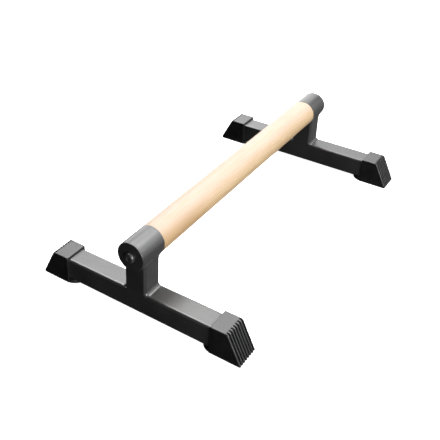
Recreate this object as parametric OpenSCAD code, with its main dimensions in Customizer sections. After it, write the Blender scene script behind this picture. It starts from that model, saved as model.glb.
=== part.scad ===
// Low parallette bar: a round wooden grip held between two welded steel stands
// on ribbed rubber feet. One bolt in each socket clamps the grip.
//
// The grip runs along Y and the two bases along X. +Z is up. The origin lies on
// the floor, under the middle of the grip.

/* [Overall] */
// Length over the two socket faces
overall_l = 500; // [380:5:700]
// Height from the floor to the top of the grip
overall_h = 110; // [95:1:180]
// Length of each base over its two feet
base_l = 294; // [220:2:400]

/* [Grip] */
// Diameter of the wooden grip and of the sockets that sit flush with it
grip_d = 38; // [35:1:45]
// Radial gap between the grip's turned-down end and the socket
tenon_gap = 0.1; // [0.05:0.05:0.3]
// Gap between the socket's mouth and the grip's shoulder
shoulder_gap = 0.1; // [0.05:0.05:0.3]
// Gap between the grip's turned-down end and the socket's end disc
tenon_end_gap = 1.6; // [1.3:0.1:4]

/* [Socket] */
// Length of each socket tube
socket_l = 42.5; // [36:0.5:60]
// Wall of the socket tube
socket_wall = 2; // [1.5:0.1:3]
// Round on the rim of the socket's closed end
socket_rim_r = 1.2; // [0.4:0.1:1.4]
// How far the socket's closed end stands out past the post
socket_proud = 8; // [5:0.5:12]
// Thickness of the disc that closes the socket
disc_t = 4; // [3:0.5:6]
// Radial gap between the disc and the socket tube, filled by paint
disc_gap = 0.05; // [0.03:0.01:0.1]

/* [Square tube] */
// Width of the square tube of the rails and posts
tube_w = 30; // [26:0.5:33]
// Wall of the square tube
tube_wall = 2; // [1.5:0.1:3]
// Outer corner radius of the square tube
tube_r = 3.5; // [3:0.5:5]

/* [Welds] */
// Leg of the fillet weld between the post and the rail
base_weld_leg = 4; // [3:0.5:8]
// How far that fillet stops short of the tube's sides
base_weld_stop = 1.5; // [0.5:0.25:2]
// Depth of the flush weld along the post's two flat sides
flush_weld_depth = 2.8; // [2.4:0.1:3]
// Leg of the fillet weld between the post and the socket
socket_weld_leg = 4; // [2:0.5:4.2]
// Thickness of that weld where it runs out
weld_toe = 0.3; // [0.2:0.1:0.6]
// Seam left between a weld and the tubes that it joins
weld_seam = 0.05; // [0.02:0.01:0.1]
// Gap between the coped end of the post and the socket
cope_gap = 0.1; // [0.05:0.05:0.3]

/* [Bolt and insert] */
// Shank diameter of the clamp bolt
bolt_d = 8; // [6:1:10]
// Length of the clamp bolt under its head
bolt_l = 30; // [20:1:45]
// Diameter of the button head
bolt_head_d = 14; // [13:0.5:20]
// Height of the button head
bolt_head_h = 4.4; // [3.5:0.1:6]
// Height of the straight edge of the head
bolt_edge_h = 1; // [0.5:0.1:1.5]
// Width across the flats of the hexagon socket
hex_w = 5; // [4:0.5:6]
// Depth of the hexagon socket
hex_depth = 2.6; // [2:0.1:3.2]
// Radial gap between the bolt and its hole in the disc
bolt_hole_gap = 0.3; // [0.2:0.05:0.6]
// Outer diameter of the threaded insert in the grip
insert_d = 12; // [11:0.5:15]
// Length of the threaded insert
insert_l = 20; // [12:1:30]
// Diameter of the insert's collar
collar_d = 17; // [15:0.5:22]
// Thickness of the insert's collar
collar_t = 1.2; // [0.8:0.1:1.3]
// Radial gap between bolt and insert, and between insert and wood
thread_gap = 0.05; // [0.03:0.01:0.1]
// Depth of the bore in the wood past the bolt's tip
pilot_extra = 4; // [2:1:10]

/* [Foot] */
// Length of the foot, from its mouth to its toe
foot_l = 42; // [37:0.5:60]
// Rubber thickness beside the rail
foot_wall = 2.4; // [1.8:0.1:5]
// Rubber thickness over the rail
crown_t = 3.3; // [2:0.1:5]
// Rubber thickness under the rail
sole_t = 5; // [3:0.5:10]
// How far the sloped end leans in from the floor to the top
slope_run = 19; // [12:0.5:20]
// Round between the top and the sloped end
brow_r = 4; // [2:0.5:8]
// Round on the upper edge of the foot's mouth
mouth_r = 1.5; // [0.5:0.1:1.9]
// Round between the sloped end and the floor
toe_r = 1.5; // [0.5:0.1:3]
// Round along the foot's long upper edges and the sides of its slope
foot_edge_r = 1.8; // [0.5:0.1:2.4]
// Solid rubber between the rail's end and the toe
nose_l = 23; // [22:0.5:27]
// Reach of the half-round tongue under the rail
tongue_l = 14.5; // [8:0.5:17]
// How far the tongue's rim stands in from the foot's sides
tongue_inset = 0.5; // [0:0.1:2]
// Number of grooves in the sloped end
groove_n = 7; // [3:1:8]
// Width of one groove
groove_w = 2.7; // [1.2:0.1:2.8]
// Depth of the grooves
groove_depth = 3.4; // [1:0.1:3.4]
// Gap between the rubber and the rail
foot_fit = 0.1; // [0.05:0.05:0.2]

/* [Hidden] */
$fn = 128;

coat_colour = [0.20, 0.20, 0.21];
weld_colour = [0.24, 0.24, 0.25];
wood_colour = [0.90, 0.76, 0.57];
rubber_colour = [0.10, 0.10, 0.10];
bolt_colour = [0.07, 0.07, 0.08];
insert_colour = [0.75, 0.70, 0.52];

// Overshoot that lets a cut pass right through
past = 1;
// Least radius inside a tube's corners
least_r = 0.5;
// Radius of the base weld's hollow face for each unit of its leg
hollow_ratio = 1.4;

grip_r = grip_d / 2;
axis_z = overall_h - grip_r;
socket_bore_r = grip_r - socket_wall;
tenon_r = socket_bore_r - tenon_gap;
rail_z = sole_t + tube_w / 2;
rail_top = sole_t + tube_w;
rail_l = base_l - 2 * nose_l;

// Places along Y, measured from the middle of a stand and outward
stand_y = overall_l / 2 - socket_proud - tube_w / 2;
face_y = tube_w / 2 + socket_proud;
mouth_y = face_y - socket_l;
disc_y = face_y - disc_t;
tenon_y = disc_y - tenon_end_gap;
bolt_tip_y = face_y - bolt_l;

foot_w = tube_w + 2 * foot_wall;
foot_h = rail_top + crown_t;
foot_mouth = base_l / 2 - foot_l;
// A depth and length that hold the whole foot
foot_reach = foot_l + foot_h;
slope_angle = atan2(foot_h, slope_run);
slope_l = norm([foot_h, slope_run]);
// Distance from the slope's sharp corner on the floor to the toe round's end
toe_tangent = toe_r / tan(slope_angle / 2);
foot_toe = base_l / 2 + toe_tangent - toe_r;
rib_w = (foot_w - groove_n * groove_w) / (groove_n + 1);

// Square with rounded corners, centred
module rounded_square(w, r) {
    square([w, w - 2 * r], center = true);
    square([w - 2 * r, w], center = true);
    for (x = [-1, 1], y = [-1, 1])
        translate([x * (w / 2 - r), y * (w / 2 - r)]) circle(r);
}

module tube_section() {
    difference() {
        rounded_square(tube_w, tube_r);
        rounded_square(tube_w - 2 * tube_wall, max(tube_r - tube_wall, least_r));
    }
}

// Cylinder along Y between two places
module along_y(r, from, to) {
    translate([0, from, 0]) rotate([-90, 0, 0]) cylinder(r = r, h = to - from);
}

// Puts a stand's piece, drawn with Y pointing outward, at the rear or the front
module at_stand(rear) {
    mirror([0, rear ? 0 : 1, 0]) translate([0, stand_y, 0]) children();
}

// Solid outline of the rail, grown by a seam
module rail_outline(grow) {
    translate([0, 0, rail_z]) rotate([0, 90, 0])
        linear_extrude(rail_l, center = true)
            rounded_square(tube_w + 2 * grow, tube_r + grow);
}

// Solid outline of the post up to the socket's axis, grown by a seam
module post_outline(grow) {
    translate([0, 0, rail_top]) linear_extrude(axis_z - rail_top)
        rounded_square(tube_w + 2 * grow, tube_r + grow);
}

module wooden_bar() {
    shoulder_y = overall_l / 2 - socket_l - shoulder_gap;
    color(wood_colour) translate([0, 0, axis_z]) difference() {
        union() {
            along_y(grip_r, -shoulder_y, shoulder_y);
            along_y(tenon_r, -stand_y - tenon_y, stand_y + tenon_y);
        }
        for (rear = [true, false]) at_stand(rear) {
            along_y(insert_d / 2 + thread_gap, tenon_y - insert_l, tenon_y + past);
            along_y(bolt_d / 2 + bolt_hole_gap, bolt_tip_y - pilot_extra, tenon_y + past);
        }
    }
}

module base_rail() {
    color(coat_colour) translate([0, 0, rail_z]) rotate([0, 90, 0])
        linear_extrude(rail_l, center = true) tube_section();
}

// The post's top end is coped to sit round the socket tube
module post() {
    color(coat_colour) difference() {
        translate([0, 0, rail_top]) linear_extrude(axis_z - rail_top) tube_section();
        translate([0, 0, axis_z]) along_y(grip_r + cope_gap, -tube_w, tube_w);
    }
}

module socket_tube() {
    color(coat_colour) translate([0, mouth_y, axis_z]) rotate([-90, 0, 0])
        rotate_extrude() difference() {
            translate([socket_bore_r, 0]) square([socket_wall, socket_l]);
            translate([grip_r - socket_rim_r, socket_l - socket_rim_r]) difference() {
                square(socket_rim_r + past);
                circle(socket_rim_r);
            }
        }
}

module socket_disc() {
    color(coat_colour) translate([0, 0, axis_z]) difference() {
        along_y(socket_bore_r - disc_gap, disc_y, face_y);
        along_y(bolt_d / 2 + bolt_hole_gap, disc_y - past, face_y + past);
    }
}

// Hollow fillets on the post's two narrow joints, and the flush weld that fills
// the groove over the rail's rounded edges
module base_weld() {
    sink_x = tube_w / 2 - flush_weld_depth;
    sink_z = rail_top - flush_weld_depth;
    fillet_l = tube_w - 2 * base_weld_stop;
    hollow_r = hollow_ratio * base_weld_leg;
    hollow_at = base_weld_leg / 2
        + sqrt(hollow_r * hollow_r - base_weld_leg * base_weld_leg / 2) / sqrt(2);
    color(weld_colour) difference() {
        union() {
            for (side = [0, 1]) mirror([side, 0, 0])
                rotate([90, 0, 0]) linear_extrude(fillet_l, center = true) difference() {
                    translate([sink_x, sink_z])
                        square(base_weld_leg + flush_weld_depth);
                    translate([tube_w / 2 + hollow_at, rail_top + hollow_at]) circle(hollow_r);
                }
            for (side = [-1, 1])
                translate([0, side * (tube_w - flush_weld_depth) / 2, sink_z + flush_weld_depth / 2])
                    cube([tube_w, flush_weld_depth, flush_weld_depth], center = true);
        }
        rail_outline(weld_seam);
        translate([0, 0, weld_seam]) post_outline(weld_seam);
        translate([0, 0, rail_top]) cube([2 * sink_x, tube_w + past, 2 * weld_seam], center = true);
    }
}

// The socket weld follows the post's outline. Each station of its path holds a
// place [x, y] on the outline and the outward direction there. The steps are
// those between stations on a corner and on a flat side.
arc_steps = 5;
flat_steps = 8;
corner_c = tube_w / 2 - tube_r;
function corner_stations(i) = [
    for (j = [0 : arc_steps])
        let (
            a = 90 * (i + j / arc_steps),
            cx = corner_c * sign(cos(90 * i + 45)),
            cy = corner_c * sign(sin(90 * i + 45))
        )
        [[cx + tube_r * cos(a), cy + tube_r * sin(a)], [cos(a), sin(a)]]
];
function flat_stations(i) = [
    for (j = [1 : flat_steps - 1])
        let (
            n = [cos(90 * (i + 1)), sin(90 * (i + 1))],
            t = [-n[1], n[0]],
            s = corner_c * (2 * j / flat_steps - 1)
        )
        [n * tube_w / 2 + t * s, n]
];
weld_path = [
    for (i = [0 : 3]) each concat(corner_stations(i), flat_stations(i))
];

// Place on a cylinder round the socket's axis: turned by an angle from straight
// down, at a distance from the axis
function round_socket(turn, y, r) = [r * sin(turn), y, axis_z - r * cos(turn)];

// Outline of the weld's section at one station: two buried points, the toe on
// the post, the hollow face and the toe on the socket. The root is sunk into
// the tubes, and the hollow face is made of a few steps.
weld_sink = 0.8;
hollow_steps = 4;
function weld_section(st) =
    let (
        p = st[0], n = st[1],
        turn = asin(p[0] / grip_r),
        root_z = axis_z - grip_r * cos(turn),
        toe_turn = turn + n[0] * socket_weld_leg / grip_r * 180 / PI,
        toe_y = p[1] + n[1] * socket_weld_leg,
        low_z = root_z - socket_weld_leg,
        inner = p - n * weld_sink,
        outer = p + n * weld_toe,
        a = [outer[0], outer[1], low_z],
        b = [outer[0], outer[1], root_z - weld_toe],
        c = round_socket(toe_turn, toe_y, grip_r + weld_toe)
    )
    concat(
        [[inner[0], inner[1], root_z + weld_sink], [inner[0], inner[1], low_z]],
        [for (k = [0 : hollow_steps])
            let (u = k / hollow_steps) a * (1 - u) * (1 - u) + b * 2 * u * (1 - u) + c * u * u],
        [round_socket(toe_turn, toe_y, grip_r - weld_sink)]
    );

module socket_weld_ring() {
    m = hollow_steps + 4;
    n = len(weld_path);
    points = [for (st = weld_path) each weld_section(st)];
    faces = [
        for (i = [0 : n - 1], k = [0 : m - 1])
            let (
                i2 = (i + 1) % n, k2 = (k + 1) % m,
                p0 = i * m + k, p1 = i * m + k2,
                q0 = i2 * m + k, q1 = i2 * m + k2
            )
            each [[p0, p1, q1], [p0, q1, q0]]
    ];
    polyhedron(points, faces);
}

module socket_weld() {
    color(weld_colour) difference() {
        socket_weld_ring();
        post_outline(weld_seam);
        translate([0, 0, axis_z]) along_y(grip_r + weld_seam, -tube_w, tube_w);
    }
}

// Button head with a hexagon socket, and its shank
module clamp_bolt() {
    dome_h = bolt_head_h - bolt_edge_h;
    dome_r = (pow(bolt_head_d / 2, 2) + dome_h * dome_h) / (2 * dome_h);
    color(bolt_colour) translate([0, face_y, axis_z]) rotate([-90, 0, 0]) difference() {
        union() {
            intersection() {
                cylinder(d = bolt_head_d, h = bolt_head_h);
                translate([0, 0, bolt_head_h - dome_r]) sphere(dome_r);
            }
            translate([0, 0, -bolt_l]) cylinder(d = bolt_d, h = bolt_l + bolt_edge_h);
        }
        translate([0, 0, bolt_head_h - hex_depth])
            cylinder(d = hex_w / cos(30), h = hex_depth + past, $fn = 6);
    }
}

module thread_insert() {
    color(insert_colour) translate([0, 0, axis_z]) difference() {
        union() {
            along_y(insert_d / 2, tenon_y - insert_l, tenon_y + collar_t);
            along_y(collar_d / 2, tenon_y, tenon_y + collar_t);
        }
        along_y(bolt_d / 2 + thread_gap, tenon_y - insert_l - past, tenon_y + collar_t + past);
    }
}

// Side view of the foot, with round corners above and below the slope and over
// the mouth. The sharp corner on the floor is at foot_toe.
module foot_side() {
    lean = [-cos(slope_angle), sin(slope_angle)];
    brow = [foot_toe - slope_run, foot_h];
    tangent_l = brow_r * tan(slope_angle / 2);
    brow_c = brow + [-tangent_l, -brow_r];
    toe = [foot_toe, 0];
    toe_c = [foot_toe - toe_tangent, toe_r];
    mouth_c = [foot_mouth + mouth_r, foot_h - mouth_r];
    polygon([
        [foot_mouth, 0], [toe_c[0], 0], toe_c, toe + lean * toe_tangent,
        brow - lean * tangent_l, brow_c, brow - [tangent_l, 0],
        mouth_c + [0, mouth_r], mouth_c - [mouth_r, 0]
    ]);
    translate(brow_c) circle(brow_r);
    translate(toe_c) circle(toe_r);
    translate(mouth_c) circle(mouth_r);
}

// Section across the foot, with its face at x = 0 and round corners there
module foot_section() {
    translate([-foot_reach, -foot_w / 2]) square([foot_reach - foot_edge_r, foot_w]);
    translate([-2 * foot_edge_r, foot_edge_r - foot_w / 2])
        square([2 * foot_edge_r, foot_w - 2 * foot_edge_r]);
    for (y = [-1, 1])
        translate([-foot_edge_r, y * (foot_w / 2 - foot_edge_r)]) circle(foot_edge_r);
}

// Frame on the slope: z runs up it from the sharp corner on the floor and x
// points out of it
module on_slope() {
    translate([foot_toe, 0, 0]) rotate([0, slope_angle - 90, 0]) children();
}

module foot_body() {
    intersection() {
        rotate([90, 0, 0]) linear_extrude(foot_w, center = true) foot_side();
        translate([foot_mouth - past, 0, foot_h]) rotate([0, -90, 0]) mirror([0, 0, 1])
            linear_extrude(foot_reach) foot_section();
        on_slope() linear_extrude(2 * foot_reach, center = true) foot_section();
    }
}

module foot(right) {
    tongue_r = foot_w / 2 - tongue_inset;
    color(rubber_colour) mirror([right ? 0 : 1, 0, 0]) difference() {
        union() {
            foot_body();
            translate([foot_mouth - tongue_l + tongue_r, 0, 0]) cylinder(r = tongue_r, h = sole_t);
        }
        translate([foot_mouth - tongue_r, 0, rail_z]) rotate([0, 90, 0])
            linear_extrude(rail_l / 2 + foot_fit - foot_mouth + tongue_r)
                rounded_square(tube_w + 2 * foot_fit, tube_r + foot_fit);
        for (i = [1 : groove_n]) on_slope()
            translate([-groove_depth, i * (rib_w + groove_w) - groove_w - foot_w / 2, -groove_depth])
                cube([groove_depth + past, groove_w, slope_l + 2 * groove_depth]);
    }
}

wooden_bar();
at_stand(false) base_rail();  // front_base_rail
at_stand(true) base_rail();  // rear_base_rail
at_stand(false) post();  // front_post
at_stand(true) post();  // rear_post
at_stand(false) socket_tube();  // front_socket_tube
at_stand(true) socket_tube();  // rear_socket_tube
at_stand(false) socket_disc();  // front_socket_disc
at_stand(true) socket_disc();  // rear_socket_disc
at_stand(false) base_weld();  // front_base_weld
at_stand(true) base_weld();  // rear_base_weld
at_stand(false) socket_weld();  // front_socket_weld
at_stand(true) socket_weld();  // rear_socket_weld
at_stand(false) clamp_bolt();  // front_clamp_bolt
at_stand(true) clamp_bolt();  // rear_clamp_bolt
at_stand(false) thread_insert();  // front_thread_insert
at_stand(true) thread_insert();  // rear_thread_insert
at_stand(false) foot(false);  // front_left_foot
at_stand(false) foot(true);  // front_right_foot
at_stand(true) foot(false);  // rear_left_foot
at_stand(true) foot(true);  // rear_right_foot
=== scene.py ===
import math
import bmesh
import bpy
from mathutils import Matrix, Vector


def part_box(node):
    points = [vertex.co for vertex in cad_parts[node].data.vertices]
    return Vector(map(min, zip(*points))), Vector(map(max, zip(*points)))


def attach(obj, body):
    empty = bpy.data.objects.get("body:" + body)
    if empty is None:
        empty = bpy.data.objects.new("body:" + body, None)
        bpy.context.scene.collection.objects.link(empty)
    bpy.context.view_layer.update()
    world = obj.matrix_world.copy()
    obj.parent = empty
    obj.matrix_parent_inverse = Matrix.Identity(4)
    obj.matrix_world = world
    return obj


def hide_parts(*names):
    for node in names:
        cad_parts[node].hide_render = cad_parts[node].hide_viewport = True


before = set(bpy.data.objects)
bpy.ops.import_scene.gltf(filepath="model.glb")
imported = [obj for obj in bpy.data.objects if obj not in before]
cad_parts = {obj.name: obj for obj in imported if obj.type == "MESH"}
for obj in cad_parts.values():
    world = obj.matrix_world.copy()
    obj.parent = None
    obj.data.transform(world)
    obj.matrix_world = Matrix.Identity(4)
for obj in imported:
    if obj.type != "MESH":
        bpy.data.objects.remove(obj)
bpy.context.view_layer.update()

MM = 0.001
WHITE = (1.0, 1.0, 1.0, 1.0)
STANDS = {"front": -1, "rear": 1}

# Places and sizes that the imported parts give
bar_low, bar_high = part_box("wooden_bar")
socket_low, socket_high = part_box("rear_socket_tube")
rail_low, rail_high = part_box("rear_base_rail")
foot_low, foot_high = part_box("rear_right_foot")
head_low, head_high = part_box("rear_clamp_bolt")
insert_low, insert_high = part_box("rear_thread_insert")
GRIP_R = (bar_high.x - bar_low.x) / 2
AXIS_Z = (bar_low.z + bar_high.z) / 2
MOUTH_Y = socket_low.y
FACE_Y = socket_high.y
STAND_Y = (rail_low.y + rail_high.y) / 2
TUBE_W = rail_high.y - rail_low.y
RAIL_TOP = rail_high.z
RAIL_Z = (rail_low.z + rail_high.z) / 2
RAIL_END = rail_high.x
FOOT_H = foot_high.z
FOOT_W = foot_high.y - foot_low.y
FOOT_TIP = foot_high.x
HEAD_R = (head_high.x - head_low.x) / 2
HEAD_H = head_high.y - FACE_Y
COLLAR_R = (insert_high.x - insert_low.x) / 2

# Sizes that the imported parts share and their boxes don't show
TUBE_R = 3.5 * MM
SOCKET_WALL = 2 * MM
SHANK_R = 4 * MM


class Value:
    """A socket of a node tree, on which sums are written as plain expressions."""

    def __init__(self, board, socket):
        self.board = board
        self.socket = socket

    def maths(self, operation, *others):
        inputs = dict(enumerate((self, *others)))
        return self.board.node("ShaderNodeMath", {"operation": operation}, inputs)

    def __add__(self, other):
        return self.maths("ADD", other)

    def __radd__(self, other):
        return self.maths("ADD", other)

    def __sub__(self, other):
        return self.maths("SUBTRACT", other)

    def __rsub__(self, other):
        return (self * -1) + other

    def __mul__(self, other):
        return self.maths("MULTIPLY", other)

    def __rmul__(self, other):
        return self.maths("MULTIPLY", other)

    def __truediv__(self, other):
        return self.maths("DIVIDE", other)

    def __pow__(self, other):
        return self.maths("POWER", other)


class Board:
    """A node tree that is filled one node at a time."""

    def __init__(self, tree):
        self.tree = tree

    def node(self, kind, settings=None, inputs=None, output=0):
        made = self.tree.nodes.new(kind)
        for name, value in (settings or {}).items():
            setattr(made, name, value)
        for key, value in (inputs or {}).items():
            self.feed(made.inputs[key], value)
        return Value(self, made.outputs[output])

    def feed(self, socket, value):
        """Gives a socket a plain value, a link or a list of links."""
        if isinstance(value, list):
            for one in value:
                self.feed(socket, one)
        elif isinstance(value, Value):
            self.tree.links.new(value.socket, socket)
        else:
            socket.default_value = value


class Finish(Board):
    """A surface finish, worked out from places on the object in metres."""

    def __init__(self, name, **constants):
        self.material = bpy.data.materials.new(name)
        self.material.use_nodes = True
        super().__init__(self.material.node_tree)
        self.shader = self.tree.nodes["Principled BSDF"]
        for key, value in constants.items():
            self.shader.inputs[key.replace("_", " ")].default_value = value
        self.place = self.node("ShaderNodeTexCoord", output="Object")

    def stretched(self, scale):
        return self.node("ShaderNodeMapping", inputs={"Vector": self.place, "Scale": scale})

    def noise(self, scale, detail=2.0, rough=0.5, place=None):
        inputs = {"Vector": place or self.place, "Scale": scale, "Detail": detail,
                  "Roughness": rough}
        return self.node("ShaderNodeTexNoise", inputs=inputs)

    def between(self, value, low, high):
        """0 at low and 1 at high, and held there beyond them."""
        inputs = {"Value": value, "From Min": low, "From Max": high}
        return self.node("ShaderNodeMapRange", {"clamp": True}, inputs)

    def mixed(self, share, first, second):
        inputs = {0: share, 6: first, 7: second}
        return self.node("ShaderNodeMix", {"data_type": "RGBA"}, inputs, 2)

    def surface(self, colour, rough, height=None, distance=0.0):
        """Joins up the shader. The height is in shares of the distance."""
        self.feed(self.shader.inputs["Base Color"], colour)
        self.feed(self.shader.inputs["Roughness"], rough)
        if height is not None:
            bumped = self.node("ShaderNodeBump", inputs={"Distance": distance, "Height": height})
            self.feed(self.shader.inputs["Normal"], bumped)
        return self.material


def grey(value):
    return (value, value, value, 1.0)


def powder_coat():
    """Fine-grained black coat, a little lighter where it lies thin."""
    coat = Finish("powder_coat", Specular_IOR_Level=0.9)
    grain = coat.noise(1500.0, 3.0, 0.6)
    peel = coat.noise(260.0, 2.0)
    cloud = coat.between(coat.noise(22.0, 3.0), 0.35, 0.65)
    colour = coat.mixed(cloud, grey(0.0125), grey(0.0165))
    rough = 0.29 + grain * 0.08 + cloud * 0.04
    return coat.surface(colour, rough, grain * 0.6 + peel * 0.8, 0.12 * MM)


def coated_weld():
    """The same coat where it has run smooth over the welds."""
    coat = Finish("coated_weld", Specular_IOR_Level=0.9)
    grain = coat.noise(1300.0, 2.0)
    swell = coat.noise(420.0, 2.0)
    colour = coat.mixed(swell, grey(0.013), grey(0.018))
    rough = 0.28 + grain * 0.08
    return coat.surface(colour, rough, grain * 0.3 + swell, 0.20 * MM)


def foot_rubber():
    """Moulded black rubber with a fine matt skin."""
    rubber = Finish("foot_rubber", Specular_IOR_Level=0.7)
    skin = rubber.noise(2300.0, 3.0, 0.6)
    cloud = rubber.between(rubber.noise(60.0, 4.0), 0.35, 0.7)
    colour = rubber.mixed(cloud, grey(0.004), grey(0.007))
    rough = 0.28 + skin * 0.08 + cloud * 0.05
    return rubber.surface(colour, rough, skin, 0.10 * MM)


def black_bolt():
    """Blackened steel with a trace of oil."""
    bolt = Finish("black_bolt", Metallic=0.85)
    cloud = bolt.noise(900.0, 3.0)
    colour = bolt.mixed(cloud, grey(0.07), grey(0.11))
    return bolt.surface(colour, 0.30 + cloud * 0.12, cloud, 0.02 * MM)


def insert_metal():
    """Yellow-passivated die-cast metal."""
    metal = Finish("insert_metal", Metallic=1.0)
    cloud = metal.noise(700.0, 3.0)
    colour = metal.mixed(cloud, (0.52, 0.43, 0.24, 1.0), (0.66, 0.58, 0.38, 1.0))
    return metal.surface(colour, 0.30 + cloud * 0.15, cloud, 0.03 * MM)


# Beech. The pith lies beside the bar and below the floor, under the bar's lower right side.
# Heartwood reaches from it to the first of the two radii below, and its darker tone is painted shade
# on the bar's lower right side. The paler wood of the top and left begins at the second radius and is
# the lit copy of the same wood. The heartwood turns darker towards the front end.
PITH_X = 0.046
PITH_DROP = 0.030
SHADED_HEARTWOOD_R = 0.127
LIT_SAPWOOD_R = 0.141
RING_WIDTH = 0.0031
RING_WANDER = 0.012
# Between these places along the bar the heartwood tone turns darker towards the front end
FRONT_DARKENING_START = -0.09
FRONT_DARKENING_END = -0.17
# The first two tones are the lit copy of the wood, the next two its painted-shade copy
PALE_SAPWOOD_LIT = (0.402, 0.322, 0.264, 1.0)
DARK_SAPWOOD_LIT = (0.372, 0.292, 0.232, 1.0)
PALE_HEARTWOOD_SHADE = (0.52, 0.395, 0.232, 1.0)
DARK_HEARTWOOD_SHADE = (0.39, 0.252, 0.122, 1.0)
LATE_WOOD = (0.42, 0.28, 0.16, 1.0)
DARK_FIBRE = (0.38, 0.26, 0.15, 1.0)
DARK_FLECK = (0.16, 0.09, 0.045, 1.0)


def beech():
    """Steamed beech sanded smooth: faint year rings, fibres and short dark flecks."""
    wood = Finish("beech", Specular_IOR_Level=0.35)
    split = wood.node("ShaderNodeSeparateXYZ", inputs={"Vector": wood.place})
    across, along, up = [Value(wood, split.socket.node.outputs[axis]) for axis in "XYZ"]
    wander = wood.noise(1.0, 3.0, 0.5, wood.stretched((16.0, 2.2, 16.0)))
    off_x = across - PITH_X
    off_z = up + PITH_DROP
    from_pith = (off_x * off_x + off_z * off_z) ** 0.5
    ring_r = from_pith + wander * RING_WANDER
    ring = wood.between((ring_r / RING_WIDTH).maths("FRACT"), 0.0, 1.0)
    late = wood.between(ring, 0.55, 0.98) * (1 - wood.between(ring, 0.985, 1.0))
    fibre = wood.noise(1.0, 4.0, 0.6, wood.stretched((900.0, 26.0, 900.0)))
    pores = wood.noise(1.0, 2.0, 0.5, wood.stretched((2600.0, 130.0, 2600.0)))
    cells = wood.node("ShaderNodeTexVoronoi", {"distance": "EUCLIDEAN"},
                      {"Vector": wood.stretched((640.0, 210.0, 640.0)), "Randomness": 1.0})
    fleck = 1 - wood.between(cells, 0.12, 0.26)
    blotch = wood.between(wood.noise(1.0, 2.0, 0.5, wood.stretched((38.0, 6.0, 38.0))), 0.3, 0.7)
    # Painted light: the outer tone is the lit copy of the wood on its top and left, the inner tone
    # painted shade on its lower right side
    lit_sap_tone = wood.mixed(blotch, PALE_SAPWOOD_LIT, DARK_SAPWOOD_LIT)
    # Random blotches, and a darkening of the heartwood tone towards the bar's front end
    blotch_and_front_darkening = blotch * 0.45 + wood.between(along, FRONT_DARKENING_START, FRONT_DARKENING_END)
    shaded_heart_tone = wood.mixed(blotch_and_front_darkening, PALE_HEARTWOOD_SHADE, DARK_HEARTWOOD_SHADE)
    # Painted shade mask: 0 on the bar's lower right side towards the pith, 1 on its lit top and left
    lit_side_share = wood.between(from_pith, SHADED_HEARTWOOD_R, LIT_SAPWOOD_R)
    # Painted light: rings, fibres and flecks are drawn half as strongly on the lit top and left as on
    # the painted-shade side
    grain_share_by_shade = 1 - lit_side_share * 0.5
    pale = wood.mixed(lit_side_share, shaded_heart_tone, lit_sap_tone)
    ringed = wood.mixed(late * grain_share_by_shade * 0.7, pale, LATE_WOOD)
    streaks = wood.between(fibre, 0.42, 0.62) * grain_share_by_shade * 0.75
    fibred = wood.mixed(streaks, ringed, DARK_FIBRE)
    colour = wood.mixed(fleck * grain_share_by_shade, fibred, DARK_FLECK)
    rough = 0.46 + fibre * 0.12
    return wood.surface(colour, rough, fibre * 0.5 + pores * 0.5 - fleck * 0.4, 0.06 * MM)


FINISHES = {make.__name__: make() for make in
            (powder_coat, coated_weld, foot_rubber, black_bolt, insert_metal, beech)}


# Faces that meet at a smaller angle, in degrees, are shaded as one surface
CORNER_ANGLE = 32.0
WELD_CORNER_ANGLE = 50.0
BOLT_CORNER_ANGLE = 38.0
# Places closer than this, in metres, are one
MERGE_DISTANCE = 1e-7


def new_object(name, mesh, finish=None):
    made = bpy.data.objects.new(name, mesh)
    bpy.context.scene.collection.objects.link(made)
    if finish:
        mesh.materials.append(FINISHES[finish])
    return made


def shade(mesh, angle=CORNER_ANGLE):
    """Smooth shading that breaks only at real corners."""
    mesh.polygons.foreach_set("use_smooth", [True] * len(mesh.polygons))
    mesh.set_sharp_from_angle(angle=math.radians(angle))


def true_flats(mesh):
    """Corner normals weighted by area, so that flat faces stay flat beside small rounds."""
    limit = math.cos(math.radians(CORNER_ANGLE))
    work = bmesh.new()
    work.from_mesh(mesh)
    normals = []
    for face in work.faces:
        for corner in face.loops:
            total = Vector()
            for near in corner.vert.link_faces:
                if near.normal.dot(face.normal) > limit:
                    total += near.normal * near.calc_area()
            normals.append(total.normalized() if total.length else face.normal)
    mesh.normals_split_custom_set([tuple(normal) for normal in normals])
    work.free()


def tidy_mesh(mesh, merge=True):
    """Joins places that coincide and turns every face outward."""
    work = bmesh.new()
    work.from_mesh(mesh)
    if merge:
        bmesh.ops.remove_doubles(work, verts=work.verts, dist=MERGE_DISTANCE)
        bmesh.ops.dissolve_degenerate(work, edges=work.edges, dist=MERGE_DISTANCE)
    bmesh.ops.recalc_face_normals(work, faces=work.faces)
    work.to_mesh(mesh)
    work.free()


def mirrored(mesh, x=1, y=1):
    """Mirrors a mesh where x or y is -1, and keeps its faces outward."""
    mesh.transform(Matrix.Diagonal((x, y, 1, 1)))
    if x * y < 0:
        mesh.flip_normals()


def lofted(name, sections, loop=False):
    """Closed mesh through sections that hold the same number of places each."""
    count = len(sections[0])
    places = [place for section in sections for place in section]
    faces = []
    for i in range(len(sections) if loop else len(sections) - 1):
        here = i * count
        there = (i + 1) % len(sections) * count
        for k in range(count):
            near = (k + 1) % count
            faces.append((here + k, here + near, there + near, there + k))
    if not loop:
        faces.append(tuple(range(count)))
        faces.append(tuple(range(len(places) - count, len(places))))
    mesh = bpy.data.meshes.new(name)
    mesh.from_pydata(places, [], faces)
    return mesh


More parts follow.
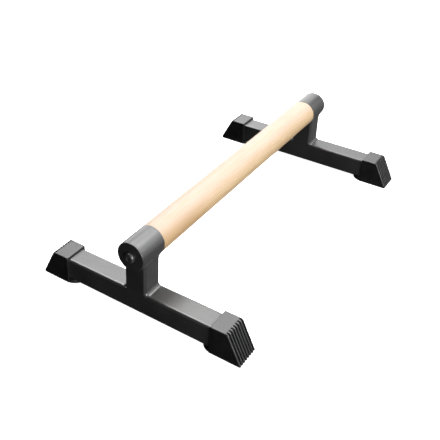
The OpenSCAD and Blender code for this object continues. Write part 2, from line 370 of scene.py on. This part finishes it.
def turned(name, profile, steps=128):
    """Closed mesh of a profile, (along Y, radius), turned round the bar's axis."""
    places = []
    rings = []
    for along, radius in profile:
        if radius < MERGE_DISTANCE:
            rings.append([len(places)] * steps)
            places.append((0.0, along, AXIS_Z))
            continue
        rings.append(list(range(len(places), len(places) + steps)))
        for k in range(steps):
            angle = 2 * math.pi * k / steps
            places.append((radius * math.cos(angle), along, AXIS_Z + radius * math.sin(angle)))
    faces = []
    for near, far in zip(rings, rings[1:]):
        for k in range(steps):
            corner = [near[k], near[(k + 1) % steps], far[(k + 1) % steps], far[k]]
            face = list(dict.fromkeys(corner))
            if len(face) > 2:
                faces.append(face)
    mesh = bpy.data.meshes.new(name)
    mesh.from_pydata(places, [], faces)
    tidy_mesh(mesh)
    shade(mesh)
    return mesh


def arc_places(centre, radius, start, end, steps=6):
    """Places on an arc between two angles in degrees."""
    turn = [math.radians(start + (end - start) * k / steps) for k in range(steps + 1)]
    return [(centre[0] + radius * math.cos(a), centre[1] + radius * math.sin(a)) for a in turn]


def grown(name, source, tree, values):
    """The plain mesh that a node tree makes from an object, which is then deleted."""
    modifier = source.modifiers.new("grown", "NODES")
    modifier.node_group = tree
    for socket in tree.interface.items_tree:
        if socket.in_out == "INPUT" and socket.name in values:
            modifier[socket.identifier] = values[socket.name]
    source.update_tag()
    graph = bpy.context.evaluated_depsgraph_get()
    mesh = bpy.data.meshes.new_from_object(source.evaluated_get(graph), depsgraph=graph)
    mesh.name = name
    source.modifiers.remove(modifier)
    bpy.data.objects.remove(source)
    return mesh


def new_tree(name, sockets):
    """Geometry tree with named inputs, its board and its output node."""
    tree = bpy.data.node_groups.new(name, "GeometryNodeTree")
    tree.interface.new_socket("Geometry", in_out="INPUT", socket_type="NodeSocketGeometry")
    for title, kind in sockets.items():
        tree.interface.new_socket(title, in_out="INPUT", socket_type=kind)
    tree.interface.new_socket("Geometry", in_out="OUTPUT", socket_type="NodeSocketGeometry")
    board = Board(tree)
    start = tree.nodes.new("NodeGroupInput")
    given = {socket.name: Value(board, socket) for socket in start.outputs if socket.name}
    end = tree.nodes.new("NodeGroupOutput")
    return tree, board, given, end


def groove_tree():
    """Cuts a row of grooves, and a pocket, in a foot."""
    tree, board, given, end = new_tree("foot_grooves", {
        "Tongue": "NodeSocketObject", "Pocket": "NodeSocketObject",
        "Groove": "NodeSocketObject", "Grooves": "NodeSocketInt",
        "Pitch": "NodeSocketFloat", "Material": "NodeSocketMaterial"})
    solid = {}
    for title in ("Tongue", "Pocket", "Groove"):
        solid[title] = board.node("GeometryNodeObjectInfo", inputs={"Object": given[title]},
                                  output="Geometry")
    joined = board.node("GeometryNodeMeshBoolean", {"operation": "UNION", "solver": "EXACT"},
                        {1: [given["Geometry"], solid["Tongue"]]})
    step = board.node("ShaderNodeCombineXYZ", inputs={"Y": given["Pitch"]})
    first = board.node("ShaderNodeCombineXYZ", inputs={
        "Y": given["Pitch"] * (given["Grooves"] - 1) * -0.5})
    row = board.node("GeometryNodeMeshLine", inputs={
        "Count": given["Grooves"], "Start Location": first, "Offset": step})
    placed = board.node("GeometryNodeInstanceOnPoints",
                        inputs={"Points": row, "Instance": solid["Groove"]})
    cutters = board.node("GeometryNodeRealizeInstances", inputs={"Geometry": placed})
    cut = board.node("GeometryNodeMeshBoolean", {"operation": "DIFFERENCE", "solver": "EXACT"},
                     {0: joined, 1: [cutters, solid["Pocket"]]})
    plain = board.node("GeometryNodeRealizeInstances", inputs={"Geometry": cut})
    finished = board.node("GeometryNodeSetMaterial",
                          inputs={"Geometry": plain, "Material": given["Material"]})
    board.feed(end.inputs[0], finished)
    return tree


def ripple_tree():
    """Raises the crescents that a weld bead leaves along its run."""
    tree, board, given, end = new_tree("weld_ripples", {
        "Pitch": "NodeSocketFloat", "Height": "NodeSocketFloat",
        "Seed": "NodeSocketFloat", "Material": "NodeSocketMaterial"})
    run = board.node("GeometryNodeInputNamedAttribute", {"data_type": "FLOAT"}, {"Name": "run"})
    crown = board.node("GeometryNodeInputNamedAttribute", {"data_type": "FLOAT"}, {"Name": "crown"})
    uneven = board.node("ShaderNodeTexNoise", {"noise_dimensions": "1D"},
                        {"W": run * 260.0 + given["Seed"], "Scale": 1.0, "Detail": 1.0})
    phase = run / given["Pitch"] + uneven * 1.1
    wave = 0.5 - (phase * (2 * math.pi)).maths("COSINE") * 0.5
    rise = (wave ** 0.6) * crown * given["Height"]
    normal = board.node("GeometryNodeInputNormal")
    shift = board.node("ShaderNodeVectorMath", {"operation": "SCALE"}, {0: normal, "Scale": rise})
    moved = board.node("GeometryNodeSetPosition",
                       inputs={"Geometry": given["Geometry"], "Offset": shift})
    plain = board.node("GeometryNodeRealizeInstances", inputs={"Geometry": moved})
    finished = board.node("GeometryNodeSetMaterial",
                          inputs={"Geometry": plain, "Material": given["Material"]})
    board.feed(end.inputs[0], finished)
    return tree


# The wooden bar. The insert's bore stands COLLAR_STEP in from its collar, and the bore goes on
# PILOT_EXTRA past the bolt's tip.
BAR_EASE = 0.9 * MM
TENON_GAP = 0.1 * MM
TENON_CHAMFER = 0.8 * MM
COLLAR_STEP = 2.45 * MM
BOLT_HOLE_GAP = 0.3 * MM
PILOT_EXTRA = 4 * MM
BAR_SPANS = 24
TENON_R = GRIP_R - SOCKET_WALL - TENON_GAP
SHOULDER_Y = MOUTH_Y - TENON_GAP
INSERT_BORE_R = COLLAR_R - COLLAR_STEP
BOLT_BORE_R = SHANK_R + BOLT_HOLE_GAP
BORE_END = head_low.y - PILOT_EXTRA


def wooden_bar():
    """Round grip with eased shoulders, a tenon at each end and a bore for insert and bolt."""
    tenon_y = bar_high.y
    ease = arc_places((SHOULDER_Y - BAR_EASE, GRIP_R - BAR_EASE), BAR_EASE, 90, 0)
    half = [
        *ease,
        (SHOULDER_Y, TENON_R),
        (tenon_y - TENON_CHAMFER, TENON_R),
        (tenon_y, TENON_R - TENON_CHAMFER),
        (tenon_y, INSERT_BORE_R),
        (insert_low.y, INSERT_BORE_R),
        (insert_low.y, BOLT_BORE_R),
        (BORE_END, BOLT_BORE_R),
        (BORE_END, 0.0),
    ]
    grip = [(SHOULDER_Y - BAR_EASE) * (2 * k / BAR_SPANS - 1) for k in range(1, BAR_SPANS)]
    profile = [(-along, radius) for along, radius in reversed(half)]
    profile += [(along, GRIP_R) for along in grip] + half
    bar = new_object("beech_bar", turned("beech_bar", profile), "beech")
    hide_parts("wooden_bar")
    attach(bar, "root")


# The rubber feet. The tongue reaches TONGUE_L out of the mouth under the rail and laps TONGUE_LAP
# into the body. The brow is the round above the slope, the toe the one below it.
TONGUE_L = 14.5 * MM
TONGUE_INSET = 0.5 * MM
TONGUE_EASE = 0.5 * MM
TONGUE_LAP = 3 * MM
FOOT_MOUTH = foot_low.x + TONGUE_L
TONGUE_R = FOOT_W / 2 - TONGUE_INSET
SLOPE_RUN = 19 * MM
SLOPE_ANGLE = math.atan2(FOOT_H, SLOPE_RUN)
BROW_R = 4 * MM
TOE_R = 1.5 * MM
MOUTH_R = 1.5 * MM
FOOT_EDGE_R = 1.8 * MM
FOOT_EASE = 0.6 * MM
SLOPE_TOE = FOOT_TIP + TOE_R / math.tan(SLOPE_ANGLE / 2) - TOE_R
# The pocket's cutter is this much wider and deeper than the rail, and starts before the mouth
POCKET_FIT = 0.1 * MM
POCKET_LEAD = 20 * MM
# Grooves of the slope: the lip is the broken edge of a rib, the root the round at the bottom
GROOVES = 7
GROOVE_W = 2.7 * MM
GROOVE_DEPTH = 3.4 * MM
GROOVE_LIP = 0.2 * MM
GROOVE_ROOT_R = 0.35 * MM
GROOVE_PITCH = (FOOT_W - GROOVES * GROOVE_W) / (GROOVES + 1) + GROOVE_W
# The groove's cutter, above the slope and along it from the toe
CUTTER_TOP = 2 * MM
CUTTER_START = -12 * MM
CUTTER_END = 62 * MM


def foot_outline(edge, ease):
    """Side view of a foot, drawn in by edge above and on the slope, by ease elsewhere."""
    out = (math.sin(SLOPE_ANGLE), math.cos(SLOPE_ANGLE))
    lean = 90 - math.degrees(SLOPE_ANGLE)
    face = SLOPE_TOE * out[0] - edge

    def arc_centre(radius, height):
        return ((face - radius - out[1] * height) / out[0], height)

    toe = arc_centre(TOE_R, ease + TOE_R)
    brow_r = BROW_R - edge / 2
    brow = arc_centre(brow_r, FOOT_H - edge - brow_r)
    mouth = (FOOT_MOUTH + ease + MOUTH_R, FOOT_H - edge - MOUTH_R)
    return [
        (FOOT_MOUTH + ease, ease),
        *arc_places(toe, TOE_R, -90, lean),
        *arc_places(brow, brow_r, lean, 90, 12),
        *arc_places(mouth, MOUTH_R, 90, 180, 8),
    ]


def foot_body():
    """The moulded body, rounded along its upper edges and eased along the lower ones."""
    steps = 10
    half = FOOT_W / 2
    stations = []
    for k in range(steps + 1):
        angle = math.pi / 2 * k / steps
        side = half - FOOT_EDGE_R + FOOT_EDGE_R * math.sin(angle)
        edge = FOOT_EDGE_R * (1 - math.cos(angle))
        over = max(side - (half - FOOT_EASE), 0.0)
        ease = FOOT_EASE - math.sqrt(max(FOOT_EASE ** 2 - over ** 2, 0.0))
        stations.append((side, edge, ease))
    stations = [(-y, e, s) for y, e, s in reversed(stations)] + stations
    sections = [[(x, side, z) for x, z in foot_outline(edge, ease)]
                for side, edge, ease in stations]
    return lofted("foot_body", sections)


def foot_tongue():
    """Rounded flap that the foot reaches under the rail."""
    centre = foot_low.x + TONGUE_R
    ease = TONGUE_EASE
    middle = ease * 0.3
    depth = RAIL_TOP - TUBE_W
    layers = [(0, ease), (middle, middle), (ease, 0),
              (depth - ease, 0), (depth - middle, middle), (depth, ease)]
    sections = []
    for height, inset in layers:
        arc = arc_places((centre, 0.0), TONGUE_R - inset, 90, 270, 40)
        end = FOOT_MOUTH + TONGUE_LAP
        plan = [(end, TONGUE_R - inset), *arc, (end, inset - TONGUE_R)]
        sections.append([(x, y, height) for x, y in plan])
    return lofted("foot_tongue", sections)


def foot_pocket():
    """The space in a foot for the rail's end."""
    half = TUBE_W / 2 + POCKET_FIT
    corner = half - TUBE_R
    plan = []
    for turn, (side, up) in enumerate(((1, 1), (-1, 1), (-1, -1), (1, -1))):
        plan += arc_places((side * corner, up * corner), TUBE_R, 90 * turn, 90 * turn + 90)
    return lofted("foot_pocket", [[(x, y, RAIL_Z + z) for y, z in plan]
                                  for x in (FOOT_MOUTH - POCKET_LEAD, RAIL_END + POCKET_FIT)])


def foot_groove():
    """Cutter for one groove, which also breaks the edges of the ribs beside it."""
    half = GROOVE_W / 2
    root = GROOVE_ROOT_R
    side = [(half + GROOVE_LIP, CUTTER_TOP), (half + GROOVE_LIP, 0.0), (half, -GROOVE_LIP)]
    side += [(half - root + root * math.cos(a), -GROOVE_DEPTH + root - root * math.sin(a))
             for a in (0.0, 0.5, 1.0, math.pi / 2)]
    outline = side + [(-y, d) for y, d in reversed(side)]
    out = Vector((math.sin(SLOPE_ANGLE), 0, math.cos(SLOPE_ANGLE)))
    along = Vector((-math.cos(SLOPE_ANGLE), 0, math.sin(SLOPE_ANGLE)))
    toe = Vector((SLOPE_TOE, 0, 0))
    sections = [[tuple(toe + out * depth + along * reach + Vector((0, y, 0)))
                 for y, depth in outline] for reach in (CUTTER_START, CUTTER_END)]
    return lofted("foot_groove", sections)


def feet():
    """Four feet from one mould: body and tongue joined, then grooves and pocket cut."""
    parts = {}
    for make in (foot_body, foot_tongue, foot_pocket, foot_groove):
        mesh = make()
        tidy_mesh(mesh)
        parts[make.__name__] = new_object(mesh.name, mesh)
    values = {"Tongue": parts["foot_tongue"], "Pocket": parts["foot_pocket"],
              "Groove": parts["foot_groove"], "Grooves": GROOVES, "Pitch": GROOVE_PITCH,
              "Material": FINISHES["foot_rubber"]}
    moulded = grown("ribbed_foot", parts.pop("foot_body"), groove_tree(), values)
    for spare in parts.values():
        bpy.data.objects.remove(spare)
    tidy_mesh(moulded)
    for stand, way in STANDS.items():
        for side, turn in (("left", -1), ("right", 1)):
            mesh = moulded.copy()
            mirrored(mesh, x=turn)
            mesh.transform(Matrix.Translation((0, way * STAND_Y, 0)))
            shade(mesh)
            true_flats(mesh)
            foot = new_object(f"{stand}_{side}_ribbed_foot", mesh)
            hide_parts(f"{stand}_{side}_foot")
            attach(foot, "root")
    bpy.data.meshes.remove(moulded)


# The welds. The fillet ends FILLET_STOP before the tube's side, and over its last RUN_OUT it draws
# in by RUN_OUT_DRAW. FILLET_HOLLOW is its radius in legs. Welds reach WELD_SINK into the steel.
BASE_LEG = 4 * MM
SOCKET_LEG = 4 * MM
WELD_SINK = 2.8 * MM
FILLET_STOP = 1.5 * MM
RUN_OUT = 3 * MM
RUN_OUT_DRAW = 1.4 * MM
# Ripples bow by RIPPLE_BOW along the bead from its middle to its edges
RIPPLE_PITCH = 1.9 * MM
RIPPLE_HEIGHT = 0.16 * MM
RIPPLE_BOW = 1.1 * MM
RIPPLE_SEED_STEP = 7.0
FILLET_HOLLOW = 1.4
# The bead round the post starts BEAD_TOE off its faces and reaches BEAD_SINK into them
BEAD_TOE = 0.3 * MM
BEAD_SINK = 0.8 * MM


def bead(name, stations, face, loop=False):
    """Weld bead from stations of (run, section). The first places of each section,
    as many as face says, are its open face and carry the ripples."""
    mesh = lofted(name, [section for run, section in stations], loop)
    run = mesh.attributes.new("run", "FLOAT", "POINT")
    crown = mesh.attributes.new("crown", "FLOAT", "POINT")
    count = len(stations[0][1])
    runs = []
    crowns = []
    for station, section in stations:
        for k in range(count):
            share = k / (face - 1) if k < face else 0.0
            runs.append(station + RIPPLE_BOW * (2 * share - 1) ** 2)
            crowns.append(math.sin(math.pi * share) ** 0.7 if k < face else 0.0)
    run.data.foreach_set("value", runs)
    crown.data.foreach_set("value", crowns)
    tidy_mesh(mesh, merge=False)
    return mesh


def base_fillet(side):
    """Hollow fillet between the post's side and the rail's top."""
    hollow_r = FILLET_HOLLOW * BASE_LEG
    reach = BASE_LEG / 2 + math.sqrt(hollow_r ** 2 - BASE_LEG ** 2 / 2) / math.sqrt(2)
    start = math.degrees(math.atan2(BASE_LEG - reach, -reach))
    end = math.degrees(math.atan2(-reach, BASE_LEG - reach))
    arc = arc_places((reach, reach), hollow_r, start % 360, end % 360, 12)
    half = TUBE_W / 2
    run = half - FILLET_STOP
    steps = 132
    stations = []
    for k in range(steps + 1):
        along = run * (2 * k / steps - 1)
        over = max(abs(along) - (run - RUN_OUT), 0.0) / RUN_OUT
        draw = RUN_OUT_DRAW * (1 - math.sqrt(max(1 - over * over, 0.0)))
        pts = [(x - draw, z - draw) for x, z in arc]
        pts += [(BASE_LEG - draw, -WELD_SINK), (-WELD_SINK, -WELD_SINK), (-WELD_SINK, BASE_LEG - draw)]
        stations.append((along + run, [(side * (half + x), along, RAIL_TOP + z) for x, z in pts]))
    return bead("base_fillet", stations, len(arc))


def base_seam(side):
    """Ground-flush weld across the joint on the stand's narrow face."""
    half = TUBE_W / 2
    steps = 120
    face = [(0.0, -WELD_SINK * k / 6) for k in range(7)]
    stations = []
    for k in range(steps + 1):
        along = half * (2 * k / steps - 1)
        pts = face + [(-WELD_SINK, -WELD_SINK), (-WELD_SINK, 0.0)]
        stations.append((along + half, [(along, side * (half + y), RAIL_TOP + z) for y, z in pts]))
    return bead("base_seam", stations, len(face))


def weld_route():
    """Places and outward directions round the post's rounded outline, the run to each place
    and the whole run."""
    corner = TUBE_W / 2 - TUBE_R
    route = []
    run = 0.0
    flat_steps = 44
    arc_steps = 10
    for turn in range(4):
        angle = math.pi / 2 * turn
        spin = Matrix.Rotation(angle, 2)
        for k in range(arc_steps):
            a = math.pi / 2 * k / arc_steps
            out = Vector((math.cos(a), math.sin(a)))
            route.append((spin @ (Vector((corner, corner)) + out * TUBE_R), spin @ out))
        for k in range(flat_steps):
            share = k / flat_steps
            out = Vector((0.0, 1.0))
            route.append((spin @ Vector((corner * (1 - 2 * share), TUBE_W / 2)), spin @ out))
    runs = []
    for k, (place, out) in enumerate(route):
        runs.append(run)
        run += (route[(k + 1) % len(route)][0] - place).length
    return route, runs, run


def on_socket(radius, turn, along):
    """A place at a radius from the bar's axis, turned from straight below it."""
    return Vector((radius * math.sin(turn), along, AXIS_Z - radius * math.cos(turn)))


def socket_bead():
    """Fillet that follows the socket's underside round the post."""
    face_steps = 8
    route, runs, whole = weld_route()
    turns = round(whole / RIPPLE_PITCH)
    stations = []
    for (place, out), run in zip(route, runs):
        turn = math.asin(place.x / GRIP_R)
        root = AXIS_Z - GRIP_R * math.cos(turn)
        low = root - SOCKET_LEG
        wide = turn + out.x * SOCKET_LEG / GRIP_R
        along = place.y + out.y * SOCKET_LEG
        inner = place - out * BEAD_SINK
        outer = place + out * BEAD_TOE
        a = Vector((outer.x, outer.y, low))
        b = Vector((outer.x, outer.y, root - BEAD_TOE))
        c = on_socket(GRIP_R + BEAD_TOE, wide, along)
        curve = []
        for k in range(face_steps + 1):
            u = k / face_steps
            curve.append(a * (1 - u) ** 2 + b * 2 * u * (1 - u) + c * u * u)
        section = curve + [on_socket(GRIP_R - BEAD_SINK, wide, along),
                           Vector((inner.x, inner.y, root + BEAD_SINK)),
                           Vector((inner.x, inner.y, low))]
        stations.append((run / whole * turns * RIPPLE_PITCH, [tuple(p) for p in section]))
    return bead("socket_bead", stations, face_steps + 1, True)


def rippled(mesh, tree, seed):
    """The mesh of a bead with its ripples raised."""
    values = {"Pitch": RIPPLE_PITCH, "Height": RIPPLE_HEIGHT, "Seed": seed,
              "Material": FINISHES["coated_weld"]}
    return grown(mesh.name, new_object(mesh.name, mesh), tree, values)


def joined(name, meshes):
    """One mesh of several, which are then deleted."""
    work = bmesh.new()
    for mesh in meshes:
        work.from_mesh(mesh)
    whole = bpy.data.meshes.new(name)
    work.to_mesh(whole)
    work.free()
    for mesh in meshes:
        bpy.data.meshes.remove(mesh)
    return whole


def welds():
    """Two fillets and two flush seams at each base, and a bead round each socket."""
    tree = ripple_tree()
    kinds = {
        "base_weld": [lambda: base_fillet(-1), lambda: base_fillet(1),
                      lambda: base_seam(-1), lambda: base_seam(1)],
        "socket_weld": [socket_bead],
    }
    for stand, way in STANDS.items():
        for kind, makers in kinds.items():
            name = f"{stand}_{kind}_bead"
            beads = [rippled(make(), tree, RIPPLE_SEED_STEP * k + way)
                     for k, make in enumerate(makers)]
            mesh = joined(name, beads)
            mesh.transform(Matrix.Translation((0, way * STAND_Y, 0)))
            shade(mesh, WELD_CORNER_ANGLE)
            weld = new_object(name, mesh, "coated_weld")
            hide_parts(f"{stand}_{kind}")
            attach(weld, "root")


# The clamp bolts. The head has a straight rim, a dome and a flat crown.
HEAD_RIM = 0.35 * MM
CROWN_R = 3.7 * MM
CROWN_EASE = 0.1 * MM
DOME_FULLNESS = 0.85
TIP_CHAMFER = 0.8 * MM
HEX_W = 5 * MM
HEX_DEPTH = 2.6 * MM
HEX_LIP = 0.3 * MM


def bolt_profile():
    """Shank, then a button head with an eased rim and a flat crown."""
    rim = HEAD_RIM
    dome = []
    for k in range(13):
        angle = math.pi / 2 * k / 12
        radius = CROWN_R + (HEAD_R - CROWN_R) * math.cos(angle)
        rise = (HEAD_H - rim * 2) * math.sin(angle) ** DOME_FULLNESS
        dome.append((FACE_Y + rim * 2 + rise, radius))
    return [
        (head_low.y, 0.0),
        (head_low.y, SHANK_R - TIP_CHAMFER),
        (head_low.y + TIP_CHAMFER, SHANK_R),
        (FACE_Y, SHANK_R),
        (FACE_Y, HEAD_R - rim),
        (FACE_Y + rim, HEAD_R),
        *dome,
        (FACE_Y + HEAD_H, CROWN_R - CROWN_EASE),
        (FACE_Y + HEAD_H, 0.0),
    ]


def hex_socket():
    """Cutter for the hexagon socket, wider at the top so that its edge is broken."""
    flat_r = HEX_W / 2 / math.cos(math.pi / 6)
    crown_y = FACE_Y + HEAD_H
    depths = [(crown_y - HEX_DEPTH, flat_r), (crown_y - HEX_LIP, flat_r),
              (crown_y + HEX_LIP, flat_r + 2 * HEX_LIP)]
    corners = [math.pi / 3 * k + math.pi / 6 for k in range(6)]
    sections = []
    for along, radius in depths:
        sections.append([(radius * math.cos(a), along, AXIS_Z + radius * math.sin(a)) for a in corners])
    mesh = lofted("hex_socket", sections)
    tidy_mesh(mesh)
    return mesh


def clamp_bolts():
    """Two button head bolts, the front one mirrored."""
    cutter = new_object("hex_socket", hex_socket())
    blank = new_object("bolt_blank", turned("bolt_blank", bolt_profile(), 96))
    cut = blank.modifiers.new("hex_socket", "BOOLEAN")
    cut.operation = "DIFFERENCE"
    cut.solver = "EXACT"
    cut.object = cutter
    graph = bpy.context.evaluated_depsgraph_get()
    shaped = bpy.data.meshes.new_from_object(blank.evaluated_get(graph), depsgraph=graph)
    bpy.data.objects.remove(blank)
    bpy.data.objects.remove(cutter)
    for stand, way in STANDS.items():
        mesh = shaped.copy()
        mirrored(mesh, y=way)
        shade(mesh, BOLT_CORNER_ANGLE)
        bolt = new_object(f"{stand}_button_head_bolt", mesh, "black_bolt")
        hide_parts(f"{stand}_clamp_bolt")
        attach(bolt, "root")
    bpy.data.meshes.remove(shaped)


# The socket tubes
SOCKET_RIM_R = 1.2 * MM


def socket_tubes():
    """Tubes with a cleanly rounded rim at the closed end."""
    bore_r = GRIP_R - SOCKET_WALL
    turns = [math.pi / 2 * k / 10 for k in range(11)]
    rim = [(FACE_Y - SOCKET_RIM_R * (1 - math.sin(a)), GRIP_R - SOCKET_RIM_R * (1 - math.cos(a)))
           for a in turns]
    profile = [(MOUTH_Y, bore_r), (MOUTH_Y, GRIP_R), *rim, (FACE_Y, bore_r), (MOUTH_Y, bore_r)]
    for stand, way in STANDS.items():
        mesh = turned(f"{stand}_socket_sleeve", profile, 192)
        mirrored(mesh, y=way)
        true_flats(mesh)
        tube = new_object(f"{stand}_socket_sleeve", mesh, "powder_coat")
        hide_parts(f"{stand}_socket_tube")
        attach(tube, "root")


def finish_kept_parts():
    """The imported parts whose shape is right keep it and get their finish."""
    kept = {"base_rail": "powder_coat", "post": "powder_coat",
            "socket_disc": "powder_coat", "thread_insert": "insert_metal"}
    for stand in STANDS:
        for part, finish in kept.items():
            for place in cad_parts[f"{stand}_{part}"].material_slots:
                place.material = FINISHES[finish]


# The photograph's viewpoint, as fitted to the outline of the object. Focal length and optical
# centre are in pixels, the target and the distance in metres, the angles in degrees.
PICTURE = 440.0
FOCAL = 724.4
CENTRE_X = 154.94
CENTRE_Y = 130.5
TARGET = (-0.20270, 0.08421, 0.050)
DISTANCE = 1.19436
AZIMUTH = 35.408
ELEVATION = 27.816
SENSOR_MM = 36.0


def camera():
    azimuth = math.radians(AZIMUTH)
    elevation = math.radians(ELEVATION)
    back = Vector((math.sin(azimuth) * math.cos(elevation),
                   -math.cos(azimuth) * math.cos(elevation), math.sin(elevation)))
    right = Vector((math.cos(azimuth), math.sin(azimuth), 0.0))
    up = back.cross(right)
    data = bpy.data.cameras.new("camera")
    data.sensor_width = SENSOR_MM
    data.lens = FOCAL / PICTURE * data.sensor_width
    data.shift_x = (PICTURE / 2 - CENTRE_X) / PICTURE
    data.shift_y = (CENTRE_Y - PICTURE / 2) / PICTURE
    made = bpy.data.objects.new("camera", data)
    turn = Matrix((right, up, back)).transposed().to_4x4()
    made.matrix_world = Matrix.Translation(Vector(TARGET) + back * DISTANCE) @ turn
    bpy.context.scene.collection.objects.link(made)
    bpy.context.scene.camera = made


# Soft boxes: bearing from the rear towards the right, height above the floor, both in degrees,
# and power in watts
SOFT_BOXES = {
    "right_low": (50, 8, 6.5),
    "front_right_low": (135, 12, 50.0),
    "rear_left_low": (316, 9, 20.0),
    "rear_left": (324, 22, 4.0),
    "rear_right": (45, 35, 19.0),
    "rear": (345, 30, 14.4),
    "rear_top": (22, 62, 43.8),
    "left_top": (292, 62, 59.2),
    "rear_left_top": (324, 55, 18.5),
}
# A tall narrow box at the front right, seen as a line of light on small rounds
STRIP = (110, 38, 30.0)
# Width and height of the boxes, and how far they stand from the middle of the floor, in metres
STRIP_SIZE = (0.3, 2.4)
BOX_SIZE = (1.3, 1.3)
BOX_DISTANCE = 2.4
# Light of the room on its left and right side, and where the one turns into the other
ROOM_LIGHT_LEFT = 0.0
ROOM_LIGHT_RIGHT = 0.308
ROOM_LEFT = -0.2
ROOM_RIGHT = 0.4


def soft_box(name, bearing, height, power, size):
    """A rectangular light that faces the middle of the floor."""
    turn = math.radians(bearing)
    rise = math.radians(height)
    place = Vector((math.sin(turn) * math.cos(rise), math.cos(turn) * math.cos(rise), math.sin(rise)))
    data = bpy.data.lights.new(name, "AREA")
    data.shape = "RECTANGLE"
    data.size, data.size_y = size
    data.energy = power
    light = bpy.data.objects.new(name, data)
    light.location = place * BOX_DISTANCE
    light.rotation_euler = (-place).to_track_quat("-Z", "Y").to_euler()
    bpy.context.scene.collection.objects.link(light)


def studio():
    for name, (bearing, height, power) in SOFT_BOXES.items():
        soft_box(name, bearing, height, power, BOX_SIZE)
    soft_box("strip", *STRIP, STRIP_SIZE)
    world = bpy.data.worlds.new("studio")
    world.use_nodes = True
    room = Board(world.node_tree)
    facing = room.node("ShaderNodeTexCoord", output="Generated")
    side = room.node("ShaderNodeSeparateXYZ", inputs={"Vector": facing}, output="X")
    light = room.node("ShaderNodeMapRange", {"interpolation_type": "SMOOTHSTEP"},
                      {"Value": side, "From Min": ROOM_LEFT, "From Max": ROOM_RIGHT,
                       "To Min": ROOM_LIGHT_LEFT, "To Max": ROOM_LIGHT_RIGHT})
    background = world.node_tree.nodes["Background"]
    background.inputs["Color"].default_value = WHITE
    room.feed(background.inputs["Strength"], light)
    bpy.context.scene.world = world
    bpy.context.scene.view_settings.view_transform = "Standard"


# The floor and the wall, in metres, and how strongly their paint glows
STUDIO_REACH = 9.0
WALL_HEIGHT = 7.0
WALL_SIDES = 96
FLOOR_GLOW = 0.9
WALL_GLOW = 0.97


def pale_paint(name, glow):
    """Matt white paint that glows a little."""
    paint = Finish(name, Specular_IOR_Level=0.1)
    paint.shader.inputs["Emission Color"].default_value = WHITE
    paint.shader.inputs["Emission Strength"].default_value = glow
    cloud = paint.noise(3.0, 2.0)
    return paint.surface(paint.mixed(cloud, grey(0.78), grey(0.80)), 0.9)


def stage_piece(name, mesh, glow):
    """A piece of the studio, which lights nothing and isn't mirrored in the object."""
    mesh.materials.append(pale_paint(f"pale_{name}", glow))
    made = new_object(name, mesh)
    made.visible_glossy = False
    made.visible_diffuse = False
    return made


def floor():
    """Pale floor. Its glow leaves only faint shadows on it."""
    reach = STUDIO_REACH
    mesh = bpy.data.meshes.new("floor")
    mesh.from_pydata([(-reach, -reach, 0), (reach, -reach, 0), (reach, reach, 0), (-reach, reach, 0)],
                     [], [(0, 1, 2, 3)])
    stage_piece("floor", mesh, FLOOR_GLOW)


def wall():
    """Pale round wall behind the floor for low views, which lets the soft light through."""
    mesh = bpy.data.meshes.new("wall")
    work = bmesh.new()
    bmesh.ops.create_cone(work, segments=WALL_SIDES, radius1=STUDIO_REACH, radius2=STUDIO_REACH,
                          depth=WALL_HEIGHT)
    bmesh.ops.translate(work, verts=work.verts, vec=(0, 0, WALL_HEIGHT / 2))
    work.to_mesh(mesh)
    work.free()
    made = stage_piece("wall", mesh, WALL_GLOW)
    made.visible_shadow = False


camera()
studio()
floor()
wall()
finish_kept_parts()
wooden_bar()
feet()
welds()
clamp_bolts()
socket_tubes()
